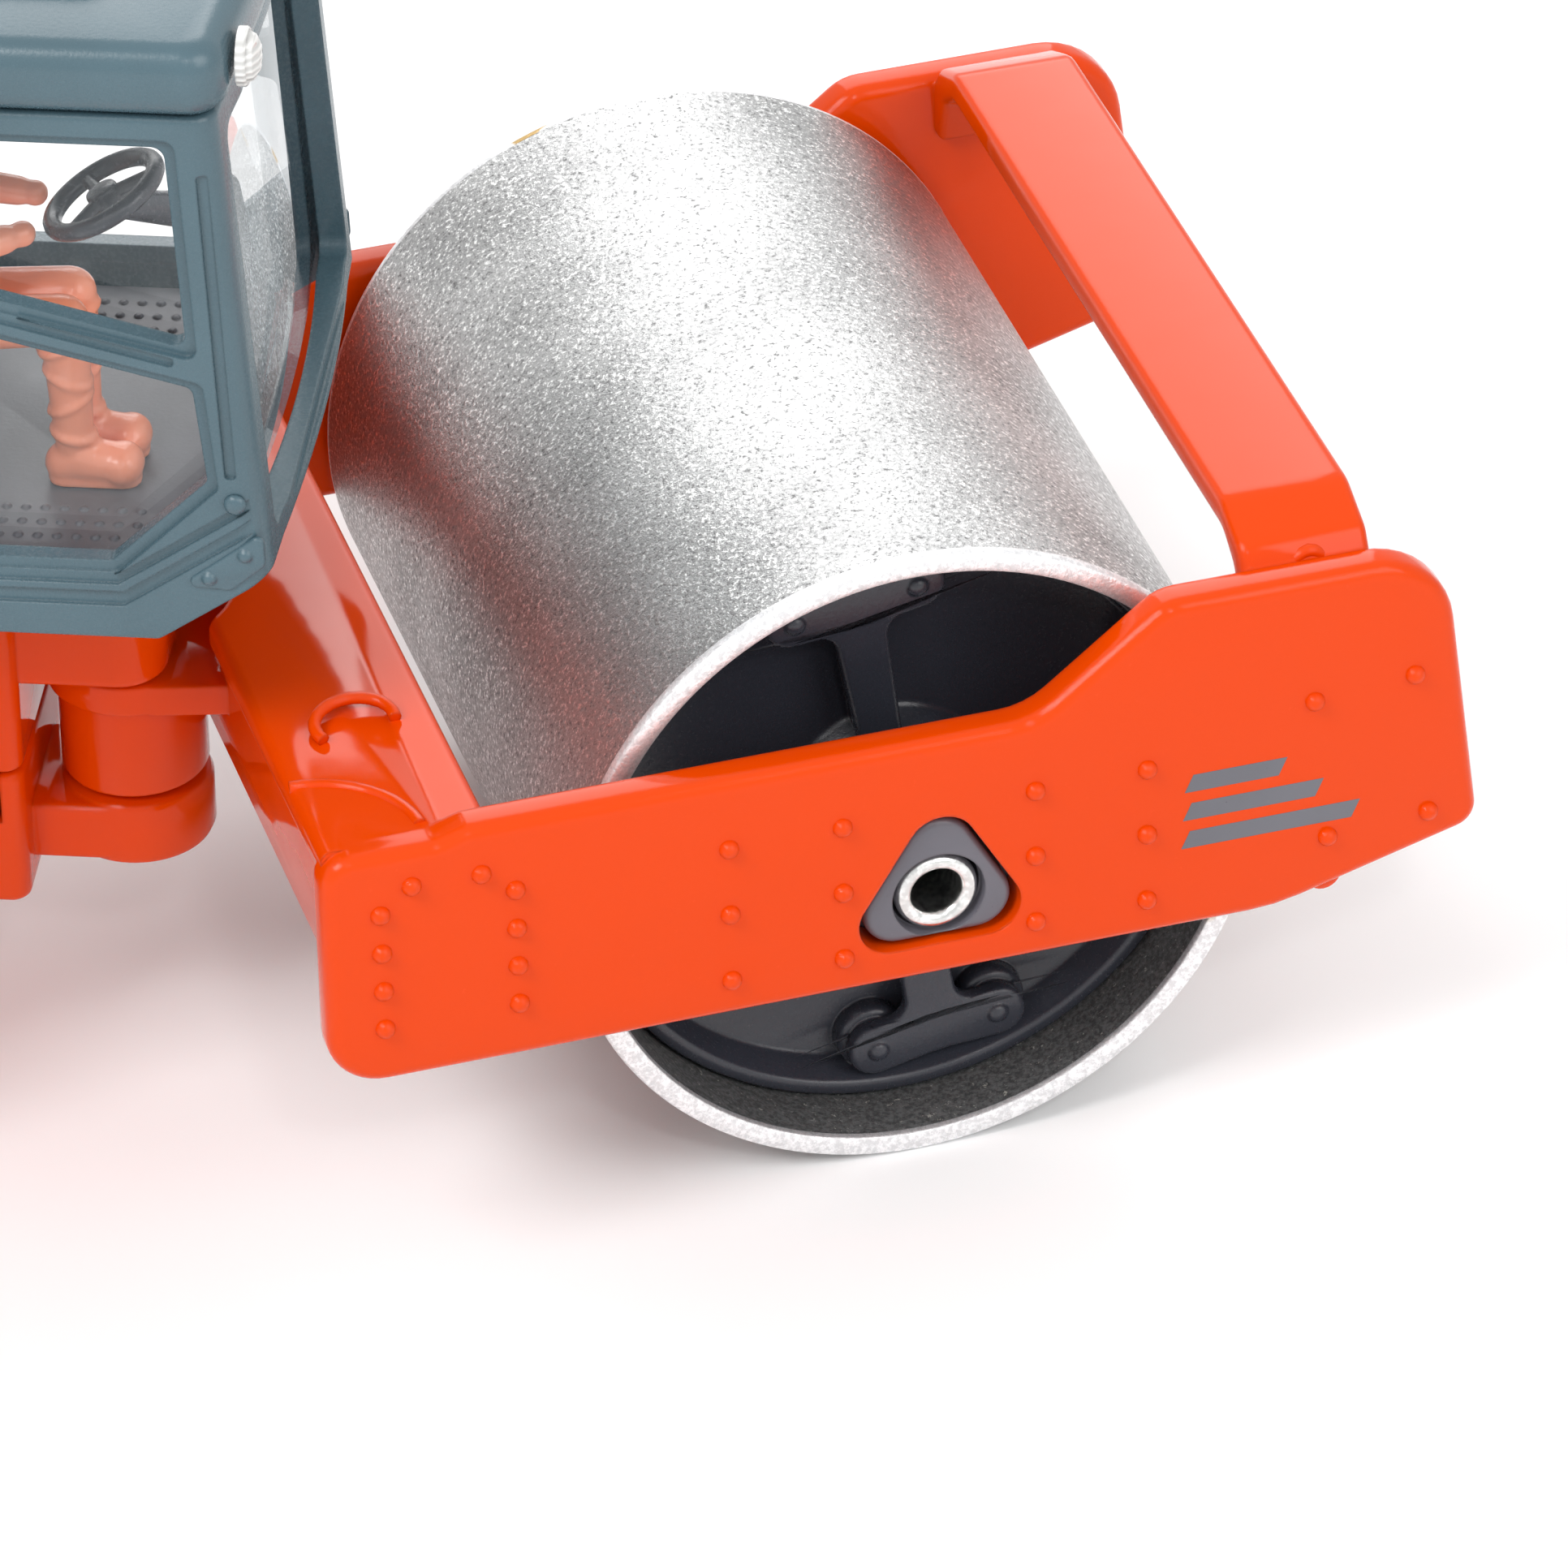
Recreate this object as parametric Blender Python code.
"""Toy road roller, about 1:50: a smooth steel drum in a cast front frame that steers on an upright pin,
and a rear chassis with a cab, an engine under a hinged hood, and two tractor-tread wheels.

Sizes are in millimetres. The solids are scaled to metres as they are added to the scene.
The front section is drawn in its own frame: origin on the ground under the steering pin, +X to the drum.
The rear section uses the same origin, with +X forwards and +Y to the machine's left.
"""

import math

import bmesh
import bpy
from mathutils import Matrix, Vector

MM = 0.001

# ---------------------------------------------------------------- overall and joints
STEER_AT_REST = 23.0  # the front section stands turned this many degrees to the left
DRUM_RADIUS = 16.0
DRUM_HEIGHT = DRUM_RADIUS  # drum axis above the ground
DRUM_AHEAD = 30.6  # drum axis ahead of the steering pin
REAR_AXLE_BEHIND = 36.0  # rear axle behind the steering pin
FRAME_WIDTH = 48.0  # across the two side plates
SEAT_GAP = 0.15  # between two cast or moulded pieces that touch
RUN_GAP = 0.3  # between pieces that move past each other

# ---------------------------------------------------------------- front section
PLATE_THICKNESS = 2.0
PLATE_EDGE_ROUND = 0.45
PLATE_BACK = 28.05  # from the drum axis back to the plate's rear edge
PLATE_FRONT = 25.35  # from the drum axis forward to the plate's front edge
PLATE_LOW = 4.15  # plate's lower edge below the drum axis
PLATE_TOP = 8.45  # low part of the plate's upper edge above the drum axis
PLATE_REAR_TOP = 7.95
PLATE_NOSE_TOP = 13.3  # raised front part
DECK_THICKNESS = 1.6
DECK_FRONT = 20.1  # from the drum axis back to the deck's front edge
DECK_BACK = 27.8
WALL_BACK = 27.3  # crossbar wall's outer face behind the drum axis
WALL_THICKNESS = 1.6
WALL_BOTTOM = DRUM_HEIGHT + 0.6
POCKET_HALF_WIDTH = 5.7  # opening in the wall that the knuckle stands in
WEB_THICKNESS = 1.2
STRAP_BACK = 14.6  # front bar, ahead of the drum axis
STRAP_WIDTH = 6.0
STRAP_TOP = DRUM_HEIGHT + 15.1
STRAP_THICKNESS = 1.6
WINDOW_ROUND = 1.6
LUG_RING_RADIUS = 1.75
LUG_WIRE_RADIUS = 0.42

# ---------------------------------------------------------------- knuckle
PIN_RADIUS = 1.1
PIN_HEAD_RADIUS = 1.8
BARREL_RADIUS = 3.35
BARREL_BOTTOM = 14.65
FLANGE_RADIUS = 3.85
FLANGE_BOTTOM = 19.4
FLANGE_THICKNESS = 1.6
TONGUE_HALF_WIDTH = 4.4
LOWER_LUG_RADIUS = 3.5
LOWER_LUG_THICKNESS = 3.35
ARM_HALF_WIDTH = 4.5
ARM_NOSE = 2.2
ARM_NOSE_ROUND = 2.1
ARM_CLEARANCE = 0.35
ARM_SWEEP = ARM_HALF_WIDTH + ARM_CLEARANCE  # radius kept clear round the pin above the flange

# ---------------------------------------------------------------- drum
DRUM_RIM_BEHIND_PLATE = 3.16  # from the plate's outer face to the drum's end
DRUM_WALL = 1.05
DISC_FLANGE_DEPTH = 6.3  # from the plate's outer face to the disc's raised rim
DISC_WEB_DEPTH = 8.2
DISC_WEB_THICKNESS = 1.4
DISC_RIM_WIDTH = 0.75
DISC_FIT = 0.2
ARM_COUNT = 4
FIRST_ARM_ANGLE = 8.5
TEE_INSET = 3.8  # from the drum's outside to the line of the cross bar's bolts
TEE_REACH = DRUM_RADIUS - TEE_INSET
TEE_HALF_SPAN = 2.87
TEE_RADIUS = 1.35
TEE_THICKNESS = 0.8
BUFFER_RADIUS = 1.6
STEM_WIDTH = 2.3
HUB_RADIUS = 4.6
AXLE_RADIUS = 1.93
AXLE_BORE = 1.15
AXLE_INSET = 0.45  # axle's end behind the plate's outer face
BLOCK_INSET = 0.9
BLOCK_FLANGE = 0.7
BLOCK_COLLAR_RADIUS = 2.3

# ---------------------------------------------------------------- rear wheels
TYRE_RADIUS = 16.2
TYRE_WIDTH = 11.8
BEAD_RADIUS = 7.4
LUG_HEIGHT = 1.2
LUGS_PER_SIDE = 9
LUG_LEAD = 26.0  # degrees that a tread lug runs on from its middle to the shoulder
LUG_WIDTH = 2.4
AXLE_REAR_RADIUS = 1.2
RIM_HOLES = 5
RIM_HOLE_RADIUS = 0.65
RIM_HOLE_CIRCLE = 4.15
TYRE_CLEARANCE = 0.8  # above the tyres, under the hood
TYRE_SIDE_CLEARANCE = 0.95
TYRE_FRONT_CLEARANCE = 1.2

# ---------------------------------------------------------------- rear chassis
SEAM_HEIGHT = 17.0
CHASSIS_BOTTOM = 10.0
BELLY_BOTTOM = 12.0
NECK_HALF_WIDTH = 5.3
NECK_GAP = 0.45  # between the tongue's round end and the neck
NECK_FRONT = FLANGE_RADIUS + NECK_GAP  # behind the pin
CAB_SEAT_HEIGHT = 30.0
PLATFORM_FRONT = 8.5
PLATFORM_THICKNESS = 3.0
PLATFORM_OVERHANG = 0.5  # beyond the side tanks
TANK_FRONT = 9.5
TANK_BACK = REAR_AXLE_BEHIND - TYRE_RADIUS - TYRE_FRONT_CLEARANCE
TANK_HALF_WIDTH = 12.7
TANK_BOTTOM = 13.5
TUB_FRONT = 22.0
TUB_LENGTH = 46.0
TUB_BACK = TUB_FRONT + TUB_LENGTH
TUB_HALF_WIDTH = 10.9
WHEEL_OFFSET = TUB_HALF_WIDTH + TYRE_SIDE_CLEARANCE + TYRE_WIDTH / 2  # to the wheel's middle
HOOD_SEAT = 1.2  # gap under the hood's edge
TUB_TOP = 2 * TYRE_RADIUS + TYRE_CLEARANCE - HOOD_SEAT
TUB_WALL = 1.4
TUB_FRONT_WALL = 2.0
TUB_FLOOR = SEAM_HEIGHT + 2.0
BUMPER_HALF_WIDTH = 16.0
BUMPER_BACK = TUB_BACK + 2.6
BUMPER_DEPTH = 6.0
BUMPER_HEIGHT = 5.85
SCREW_HEAD_RADIUS = 1.6
SCREW_SINK = 1.6
SCREW_PLACES = (-NECK_FRONT - 9.7, -TUB_BACK + 10.0)
STEP_COUNT = 2
STEP_PITCH = 5.2
STEP_DEPTH = 2.6
STEP_BACK_THICKNESS = 0.8
LAMP_RADIUS = 1.25

# ---------------------------------------------------------------- cab
CAB_HALF_WIDTH = 13.6
CAB_GAP = 0.3  # between the cab and the casting it stands on
CAB_BOTTOM = CAB_SEAT_HEIGHT + CAB_GAP
CAB_HEIGHT = 26.5
CAB_TOP = CAB_BOTTOM + CAB_HEIGHT
CAB_FRONT = 9.1
CAB_BOW = 0.7
CAB_REAR = TUB_FRONT - 1.0
CAB_LEAN = 3.5  # degrees that the front leans back
CAB_WALL = 1.2
CAB_CORNER = 1.2
FLOOR_TOP = CAB_BOTTOM + 2.6
SILL_HEIGHT = 1.3  # of the windows' lower edge above the floor
CAB_SILL = FLOOR_TOP + SILL_HEIGHT
HEADER_DEPTH = 1.6
CHAMFER_START = 3.7  # the lower front corner is cut away from here ...
CHAMFER_HEIGHT = 3.7  # ... rising by this much to the front
GROOVE_HEIGHTS = (1.6, 2.75)
GROOVE_WIDTH = 0.3
PILLAR_WIDTH = 2.1
GLASS_THICKNESS = 0.7
GLASS_LAP = 0.9
ROOF_THICKNESS = 4.4
ROOF_OVERHANG = 0.6
SEAT_PLINTH = 3.6
CUSHION = 2.2
DRIVER_Y = -3.9
WHEEL_CENTRE = (0.6, -2.7, FLOOR_TOP + 13.3)
LIGHT_RADIUS = 1.3

# ---------------------------------------------------------------- hood
HOOD_FRONT = CAB_REAR + 1.6
HOOD_BACK = TUB_BACK + 0.9
HOOD_HALF_WIDTH = TUB_HALF_WIDTH + 1.7
HOOD_BOTTOM = TUB_TOP + HOOD_SEAT
HOOD_HEIGHT = 12.4
HOOD_TOP = HOOD_BOTTOM + HOOD_HEIGHT
HOOD_WALL = 1.2
HOOD_ROUND = 2.6
HINGE_X = -TUB_BACK - 1.9
HINGE_Z = HOOD_BOTTOM + 0.2
HINGE_PIN_RADIUS = 0.7
HINGE_KNUCKLE_RADIUS = 1.35
HINGE_HALF_WIDTH = 8.0
EAR_WIDTH = 1.5
VENT_X = (-HOOD_BACK + 13.9, -HOOD_FRONT - 11.4)
VENT_Z = (HOOD_BOTTOM + 2.6, HOOD_BOTTOM + 7.0)
VENT_SLATS = 6
REAR_VENT_HALF_WIDTH = 7.4
REAR_VENT_SLATS = 4
EXHAUST_RADIUS = 0.85

# ---------------------------------------------------------------- engine bay
ENGINE_BACK = -TUB_BACK + 14.0
ENGINE_FRONT = -TUB_FRONT - 9.0
ENGINE_HALF_WIDTH = TUB_HALF_WIDTH - 4.3
COVER_TOP = HOOD_BOTTOM + 2.2
RIB_COUNT = 3
RADIATOR_BACK = -TUB_BACK + 5.4
RADIATOR_THICKNESS = 4.0
COWL_RADIUS = 6.6
FAN_BLADES = 6

HALF_FRAME = FRAME_WIDTH / 2
PLATE_INNER = HALF_FRAME - PLATE_THICKNESS
SIDES = (("right", -1), ("left", 1))
DIRECTIONS = {"X": Vector((1, 0, 0)), "Y": Vector((0, 1, 0)), "Z": Vector((0, 0, 1))}


# ---------------------------------------------------------------- drawing helpers
def rounded(corners, step=30):
    """Closed outline in which each corner (u, v, radius) is an arc. Small corners get coarser arcs."""
    points = []
    for index, (u, v, radius) in enumerate(corners):
        corner = Vector((u, v))
        if radius <= 0:
            points.append(corner)
            continue
        back = (Vector(corners[index - 1][:2]) - corner).normalized()
        ahead = (Vector(corners[(index + 1) % len(corners)][:2]) - corner).normalized()
        half = back.angle(ahead) / 2
        centre = corner + (back + ahead).normalized() * (radius / math.sin(half))
        arm = corner + back * (radius / math.tan(half)) - centre
        far = corner + ahead * (radius / math.tan(half)) - centre
        turn = math.copysign(math.pi - 2 * half, arm.x * far.y - arm.y * far.x)
        steps = max(1, round(math.degrees(abs(turn)) / (step if radius > 1 else 45)))
        for number in range(steps + 1):
            points.append(centre + Matrix.Rotation(turn * number / steps, 2) @ arm)
    return points


def rectangle(u_low, u_high, v_low, v_high, radius=0.0):
    """Outline of a rectangle with equal corner radii."""
    corners = [(u_low, v_low), (u_high, v_low), (u_high, v_high), (u_low, v_high)]
    return rounded([(u, v, radius) for u, v in corners])


def place(axis, u, v, w):
    """Point at (u, v) in the outline's plane and w along the axis."""
    return {"X": Vector((w, u, v)), "Y": Vector((u, w, v)), "Z": Vector((u, v, w))}[axis]


def prism(outline, axis, low, high, rim=0.0):
    """Outline extruded along an axis, with the rims of its two ends taken off."""
    solid = bmesh.new()
    base = solid.faces.new([solid.verts.new(place(axis, u, v, low)) for u, v in outline])
    swept = bmesh.ops.extrude_face_region(solid, geom=[base])["geom"]
    moved = [item for item in swept if isinstance(item, bmesh.types.BMVert)]
    bmesh.ops.translate(solid, verts=moved, vec=DIRECTIONS[axis] * (high - low))
    bmesh.ops.recalc_face_normals(solid, faces=solid.faces)
    if rim:
        rims = [e for e in solid.edges if abs((e.verts[1].co - e.verts[0].co).dot(DIRECTIONS[axis])) < 1e-6]
        bmesh.ops.bevel(solid, geom=rims, offset=rim, segments=1, affect="EDGES")
    return solid


def block(x, y, z, radius=0.0, axis="Z", rim=0.0):
    """Box from (low, high) pairs, with the corners along one axis rounded."""
    spans = {"X": (y, z, x), "Y": (x, z, y), "Z": (x, y, z)}[axis]
    outline = rectangle(*spans[0], *spans[1], radius)
    return prism(outline, axis, *spans[2], rim)


def revolve(profile, axis, steps, centre=(0, 0, 0)):
    """Profile of (radius, height) points turned round an axis. One that starts on the axis is left open."""
    solid = bmesh.new()
    others = {"X": "Y", "Y": "X", "Z": "X"}
    outward = DIRECTIONS[others[axis]]
    middle = Vector(centre)
    spots = [middle + outward * reach + DIRECTIONS[axis] * height for reach, height in profile]
    points = [solid.verts.new(spot) for spot in spots]
    links = list(zip(points, points[1:]))
    if profile[0][0] > 0:
        links.append((points[-1], points[0]))
    edges = [solid.edges.new(link) for link in links]
    turn = {"cent": middle, "axis": DIRECTIONS[axis], "angle": math.tau}
    bmesh.ops.spin(solid, geom=points + edges, **turn, steps=steps, use_merge=True)
    bmesh.ops.remove_doubles(solid, verts=solid.verts, dist=1e-3)
    bmesh.ops.recalc_face_normals(solid, faces=solid.faces)
    return solid


def rod(axis, radius, low, high, centre=(0, 0, 0), steps=24, chamfer=0.0):
    """Solid cylinder along an axis through centre, with chamfered ends."""
    profile = [(0, low), (radius - chamfer, low), (radius, low + chamfer), (radius, high - chamfer)]
    profile += [(radius - chamfer, high), (0, high)]
    if not chamfer:
        profile = [(0, low), (radius, low), (radius, high), (0, high)]
    return revolve(profile, axis, steps, centre)


def hull(points):
    """Convex hull of a list of points."""
    solid = bmesh.new()
    for point in points:
        solid.verts.new(point)
    found = bmesh.ops.convex_hull(solid, input=solid.verts)
    inner = [item for item in found["geom_interior"] if isinstance(item, bmesh.types.BMVert)]
    bmesh.ops.delete(solid, geom=inner, context="VERTS")
    bmesh.ops.recalc_face_normals(solid, faces=solid.faces)
    return solid


def limb(start, end, start_radius, end_radius, steps=6, twist=13.0):
    """Tapered rod with domed ends between two points, turned about itself by twist degrees."""
    start, end = Vector(start), Vector(end)
    length = (end - start).length
    profile = [
        (0, -start_radius),
        (start_radius * 0.78, -start_radius * 0.62),
        (start_radius, 0),
        (end_radius, length),
        (end_radius * 0.78, length + end_radius * 0.62),
        (0, length + end_radius),
    ]
    solid = revolve(profile, "Z", steps)
    turn = Vector((0, 0, 1)).rotation_difference(end - start).to_matrix().to_4x4()
    turn = turn @ Matrix.Rotation(math.radians(twist), 4, "Z")
    bmesh.ops.transform(solid, matrix=Matrix.Translation(start) @ turn, verts=solid.verts)
    return solid


def tube(route, radius, steps):
    """Round bar of even thickness along a route of points."""
    solid = bmesh.new()
    rings = []
    side = (route[1] - route[0]).orthogonal()
    for index, point in enumerate(route):
        ahead = (route[min(index + 1, len(route) - 1)] - route[max(index - 1, 0)]).normalized()
        side = (side - ahead * side.dot(ahead)).normalized()
        up = ahead.cross(side)
        angles = [math.tau * n / steps for n in range(steps)]
        spokes = [side * math.cos(a) + up * math.sin(a) for a in angles]
        rings.append([solid.verts.new(point + radius * spoke) for spoke in spokes])
    for first, second in zip(rings, rings[1:]):
        for n in range(steps):
            solid.faces.new([first[n - 1], first[n], second[n], second[n - 1]])
    solid.faces.new(rings[0])
    solid.faces.new(rings[-1])
    bmesh.ops.recalc_face_normals(solid, faces=solid.faces)
    return solid


def merged(solids):
    """One mesh that holds several separate solids, for use as a tool of a Boolean."""
    whole = bmesh.new()
    for solid in solids:
        mesh = bpy.data.meshes.new("merged")
        solid.to_mesh(mesh)
        whole.from_mesh(mesh)
        bpy.data.meshes.remove(mesh)
    return whole


# ---------------------------------------------------------------- scene helpers
def clear_scene():
    """Remove what the file held before."""
    for thing in list(bpy.data.objects):
        bpy.data.objects.remove(thing)


def material(name, colour, roughness, metallic=0.0, alpha=1.0):
    """Principled material."""
    finish = bpy.data.materials.new(name)
    finish.use_nodes = True
    shader = finish.node_tree.nodes["Principled BSDF"]
    shader.inputs["Base Color"].default_value = (*colour, 1.0)
    shader.inputs["Roughness"].default_value = roughness
    shader.inputs["Metallic"].default_value = metallic
    shader.inputs["Alpha"].default_value = alpha
    return finish


def empty(name, location, parent=None, turn=0.0):
    """Empty on a joint's axis."""
    holder = bpy.data.objects.new(name, None)
    bpy.context.collection.objects.link(holder)
    holder.parent = parent
    holder.location = Vector(location) * MM
    holder.rotation_euler.z = math.radians(turn)
    return holder


def add(name, solid, finish, parent):
    """Put a solid into the scene as an object whose origin is its parent's."""
    bmesh.ops.scale(solid, verts=solid.verts, vec=(MM, MM, MM))
    mesh = bpy.data.meshes.new(name)
    solid.to_mesh(mesh)
    solid.free()
    mesh.shade_smooth()
    mesh.set_sharp_from_angle(angle=math.radians(35))
    thing = bpy.data.objects.new(name, mesh)
    bpy.context.collection.objects.link(thing)
    thing.parent = parent
    if finish:
        mesh.materials.append(finish)
    return thing


def shape(target, operation, *tools):
    """Boolean of target with each tool. The tools stay in the scene as hidden wires."""
    for number, solid in enumerate(tools):
        tool = add(f"tool_{target.name}_{len(target.modifiers)}", solid, None, target.parent)
        tool.hide_render = True
        tool.display_type = "WIRE"
        step = target.modifiers.new(f"{operation.lower()}_{number}", "BOOLEAN")
        step.operation = operation
        step.object = tool
    return target


def cut(target, *tools):
    """Take the tools away from target."""
    return shape(target, "DIFFERENCE", *tools)


def join(target, *tools):
    """Fuse the tools with target."""
    return shape(target, "UNION", *tools)


# ---------------------------------------------------------------- front section
def plate_outline():
    """Side plate seen from the machine's right, with its raised nose."""
    low, top, nose = DRUM_HEIGHT - PLATE_LOW, DRUM_HEIGHT + PLATE_TOP, DRUM_HEIGHT + PLATE_NOSE_TOP
    rear_top = DRUM_HEIGHT + PLATE_REAR_TOP
    back, front = DRUM_AHEAD - PLATE_BACK, DRUM_AHEAD + PLATE_FRONT
    return rounded(
        [
            (back, low, 2.6),
            (front - 9.6, low, 9.0),
            (front, low + 2.75, 1.2),
            (front - 1.75, nose, 4.0),
            (front - 14.8, nose, 2.4),
            (front - 20.9, top, 3.4),
            (back + 6.6, top, 0.6),
            (back + 5.2, rear_top, 0.6),
            (back, rear_top, 1.5),
        ]
    )


def window_outline(clearance=0.0):
    """Rounded triangular window round the drum axle, point up."""
    middle = Vector((DRUM_AHEAD, DRUM_HEIGHT))
    corners = [(0.1, 5.9), (-5.1, -2.4), (4.9, -2.4)]
    centre = Vector((sum(u for u, _ in corners) / 3, sum(v for _, v in corners) / 3))
    shrink = 1 - clearance / 2.8
    moved = [middle + centre + (Vector(corner) - centre) * shrink for corner in corners]
    return rounded([(u, v, WINDOW_ROUND) for u, v in moved])


def strap_outline():
    """Front bar seen along X: it rises from both plates and runs level between them."""
    root = PLATE_INNER + PLATE_THICKNESS * 0.4
    foot = STRAP_TOP - 5.0
    right = [
        (-root, foot, 0),
        (-root, STRAP_TOP - 3.0, 0),
        (-PLATE_INNER + 0.4, STRAP_TOP - 1.1, 1.0),
        (-PLATE_INNER + 2.9, STRAP_TOP, 1.8),
    ]
    under = [
        (-PLATE_INNER + 2.6, STRAP_TOP - STRAP_THICKNESS, 1.2),
        (-PLATE_INNER + 1.1, STRAP_TOP - STRAP_THICKNESS - 1.0, 0.8),
        (-PLATE_INNER + 0.5, foot, 0),
    ]
    left = [(-y, z, radius) for y, z, radius in reversed(right)]
    return rounded(right + left + [(-y, z, radius) for y, z, radius in reversed(under)] + under)


def tie_down_ring(x, y, z, tilt):
    """Small cast eye: half a ring that stands on the deck."""
    solid = bmesh.new()
    section = [solid.verts.new(p) for p in circle_3d(LUG_RING_RADIUS, LUG_WIRE_RADIUS, 5)]
    edges = [solid.edges.new((section[n - 1], section[n])) for n in range(len(section))]
    solid.faces.new(section)
    sweep = {"cent": (0, 0, 0), "axis": (0, 1, 0), "angle": -math.pi * 1.2}
    bmesh.ops.spin(solid, geom=solid.faces[:] + edges + section, **sweep, steps=5)
    bmesh.ops.recalc_face_normals(solid, faces=solid.faces)
    lean = Matrix.Rotation(math.radians(tilt), 4, "X")
    start = Matrix.Rotation(math.radians(18), 4, "Y")
    bmesh.ops.transform(solid, matrix=Matrix.Translation((x, y, z)) @ lean @ start, verts=solid.verts)
    return solid


def circle_3d(offset, radius, steps):
    """Ring of points round (offset, 0, 0) in the XY plane."""
    return [
        (offset + radius * math.cos(math.tau * n / steps), radius * math.sin(math.tau * n / steps), 0)
        for n in range(steps)
    ]


def build_front_frame(paint, steering):
    """Cast frame: two side plates, rear crossbar with the tongue, and the front bar."""
    plates = {
        side: prism(plate_outline(), "Y", *sorted((side * PLATE_INNER, side * HALF_FRAME)), PLATE_EDGE_ROUND)
        for _, side in SIDES
    }
    frame = add("front_frame", plates[-1], paint, steering)
    inner = PLATE_INNER + PLATE_THICKNESS / 2
    deck_top = DRUM_HEIGHT + PLATE_REAR_TOP
    wall_front = DRUM_AHEAD - WALL_BACK + WALL_THICKNESS
    deck = block(
        (DRUM_AHEAD - DECK_BACK, DRUM_AHEAD - DECK_FRONT),
        (-inner, inner),
        (deck_top - DECK_THICKNESS, deck_top),
        0.6,
        "Y",
    )
    lip_top = deck_top - DECK_THICKNESS / 2
    wall = block((DRUM_AHEAD - WALL_BACK, wall_front), (-inner, inner), (WALL_BOTTOM, lip_top), 0.5, "Y")
    strap = prism(
        strap_outline(), "X", DRUM_AHEAD + STRAP_BACK, DRUM_AHEAD + STRAP_BACK + STRAP_WIDTH, rim=0.25
    )
    webs = [
        block(
            (wall_front - 0.4, DRUM_AHEAD - DECK_FRONT - 1.0),
            (middle - WEB_THICKNESS / 2, middle + WEB_THICKNESS / 2),
            (WALL_BOTTOM, lip_top),
            2.2,
            "Y",
        )
        for middle in (-POCKET_HALF_WIDTH - WEB_THICKNESS / 2, POCKET_HALF_WIDTH + WEB_THICKNESS / 2)
    ]
    flange_top = FLANGE_BOTTOM + FLANGE_THICKNESS
    root = wall_front - 0.6
    tongue = prism(
        rounded(
            [
                (root, -TONGUE_HALF_WIDTH - 0.8, 0),
                (root, TONGUE_HALF_WIDTH + 0.8, 0),
                (0, TONGUE_HALF_WIDTH * 0.9, 0.8),
                (-FLANGE_RADIUS * 0.6, FLANGE_RADIUS * 0.6, 0.6),
                (-FLANGE_RADIUS * 0.6, -FLANGE_RADIUS * 0.6, 0.6),
                (0, -TONGUE_HALF_WIDTH * 0.9, 0.8),
            ]
        ),
        "Z",
        FLANGE_BOTTOM,
        flange_top,
    )
    disc = rod("Z", FLANGE_RADIUS, FLANGE_BOTTOM, flange_top, steps=20)
    barrel = rod("Z", BARREL_RADIUS, BARREL_BOTTOM, FLANGE_BOTTOM + 0.5, steps=20)
    lip_front = DRUM_AHEAD - DECK_FRONT - 0.1
    lip = block((lip_front - 0.8, lip_front), (-inner, inner), (lip_top - 1.6, lip_top))
    join(frame, plates[1], deck, wall, *webs, lip, strap, tongue, disc, barrel)
    bar_middle = DRUM_AHEAD + STRAP_BACK + STRAP_WIDTH / 2
    foot = (DRUM_AHEAD + 18.4, 0, DRUM_HEIGHT - PLATE_LOW + 0.55)
    for _, side in SIDES:
        deck_eye = tie_down_ring(DRUM_AHEAD - 23.9, side * (HALF_FRAME - 9.4), deck_top, side * 25)
        bar_eye = tie_down_ring(bar_middle, side * (PLATE_INNER + 0.1), STRAP_TOP - 2.1, side * 65)
        span = sorted((side * (PLATE_INNER + 0.8), side * (PLATE_INNER - 1.6)))
        join(frame, deck_eye, rod("Y", 0.9, *span, foot, 8), bar_eye)
    above = revolve([(0, flange_top), (ARM_SWEEP, flange_top), (ARM_SWEEP, 40), (0, 40)], "Z", 20)
    bore = rod("Z", PIN_RADIUS + SEAT_GAP, BARREL_BOTTOM - 1, flange_top + 1, steps=12)
    window = prism(window_outline(), "Y", -HALF_FRAME - 2, HALF_FRAME + 2)
    cut(frame, above, bore, window)
    return frame


def build_bearing_blocks(plastic, steering):
    """Moulded blocks that fill the plates' windows and carry the axle."""
    for name, side in SIDES:
        face = side * (HALF_FRAME - BLOCK_INSET)
        flange_face = side * (PLATE_INNER - SEAT_GAP)
        back = side * (PLATE_INNER - SEAT_GAP - BLOCK_FLANGE)
        plug = prism(window_outline(SEAT_GAP * 1.4), "Y", *sorted((face, flange_face - side * 0.3)), 0.15)
        flange = prism(window_outline(-1.2), "Y", *sorted((flange_face, back)))
        centre = (DRUM_AHEAD, 0, DRUM_HEIGHT)
        body = join(add(f"bearing_block_{name}", plug, plastic, steering), flange)
        collar = rod("Y", BLOCK_COLLAR_RADIUS, *sorted((face + side, face - side * 0.9)), centre, 14)
        bore = rod("Y", AXLE_RADIUS + SEAT_GAP, *sorted((face + side, back - side)), centre, 14)
        cut(body, collar, bore)


def build_drum_axle(steel, steering):
    """Hollow steel axle held in the two bearing blocks."""
    half = HALF_FRAME - AXLE_INSET
    profile = [
        (AXLE_BORE, -half + 0.15),
        (AXLE_BORE + 0.15, -half),
        (AXLE_RADIUS - 0.25, -half),
        (AXLE_RADIUS, -half + 0.25),
        (AXLE_RADIUS, half - 0.25),
        (AXLE_RADIUS - 0.25, half),
        (AXLE_BORE + 0.15, half),
        (AXLE_BORE, half - 0.15),
    ]
    add("drum_axle", revolve(profile, "Y", 14, (DRUM_AHEAD, 0, DRUM_HEIGHT)), steel, steering)


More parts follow.
